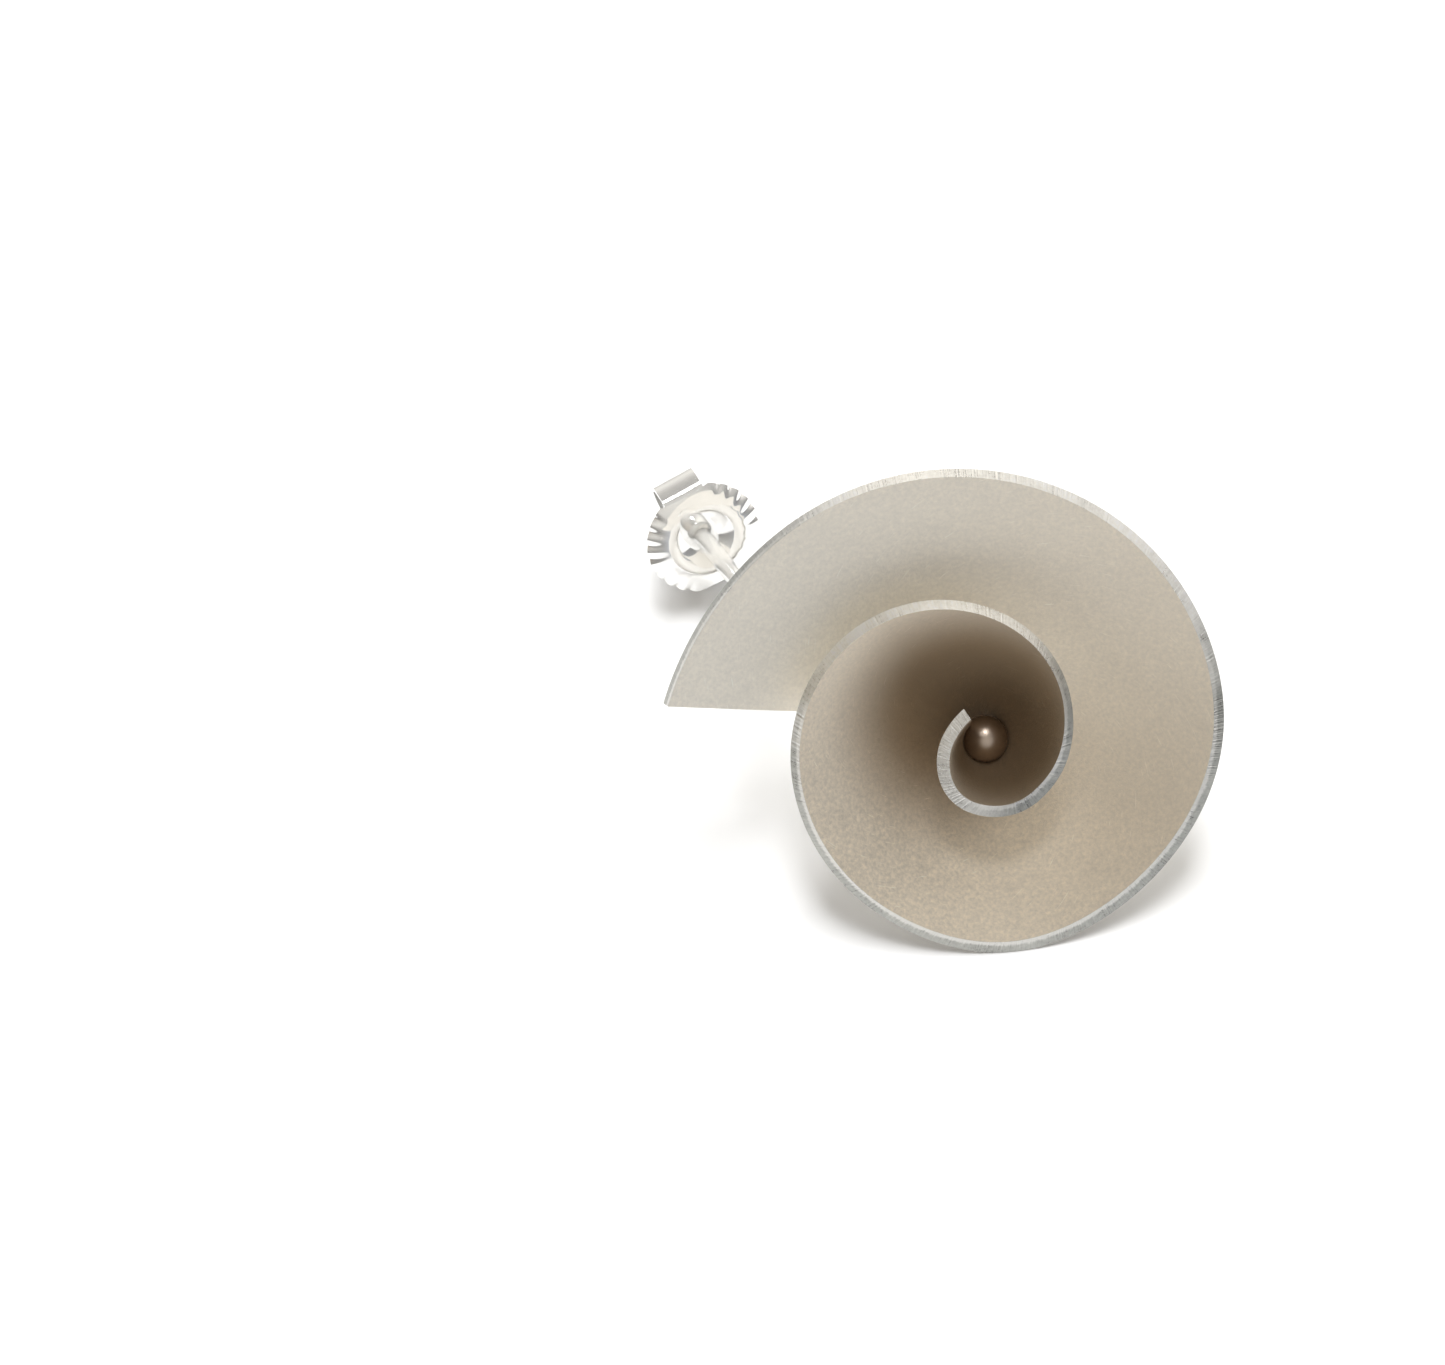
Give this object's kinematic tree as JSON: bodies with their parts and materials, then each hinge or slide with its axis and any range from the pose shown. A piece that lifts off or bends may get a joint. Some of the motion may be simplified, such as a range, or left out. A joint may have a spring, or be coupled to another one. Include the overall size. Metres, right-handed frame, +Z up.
{
  "type": "spiral stud earring",
  "caption": "Stud earring: satin silver sheet rolled into a flaring spiral cone round a small ball, with a straight ear post and a butterfly ear nut.",
  "frame": {"origin": "centre of the bounding box, on the surface that the earring rests on", "axes": "+Z up as it rests; the open front of the spiral faces -Y and leans back 46 degrees from upright; the wide end's tip is at -X and the ear post runs back towards +Y"},
  "size_m": [0.0218, 0.0218, 0.0137],
  "materials": {
    "satin_silver": "satin",
    "polished_silver": "polished"
  },
  "bodies": {
    "spiral": {"spiral_shell": "satin_silver"},
    "nut": {"ear_nut": "polished_silver"}
  },
  "joints": [
    {"name": "nut_slide", "type": "slide", "parent": "spiral", "child": "nut", "axis": [-0.24, 0.8335, -0.4977], "range_m": [-0.0045, 0.0025]}
  ]
}
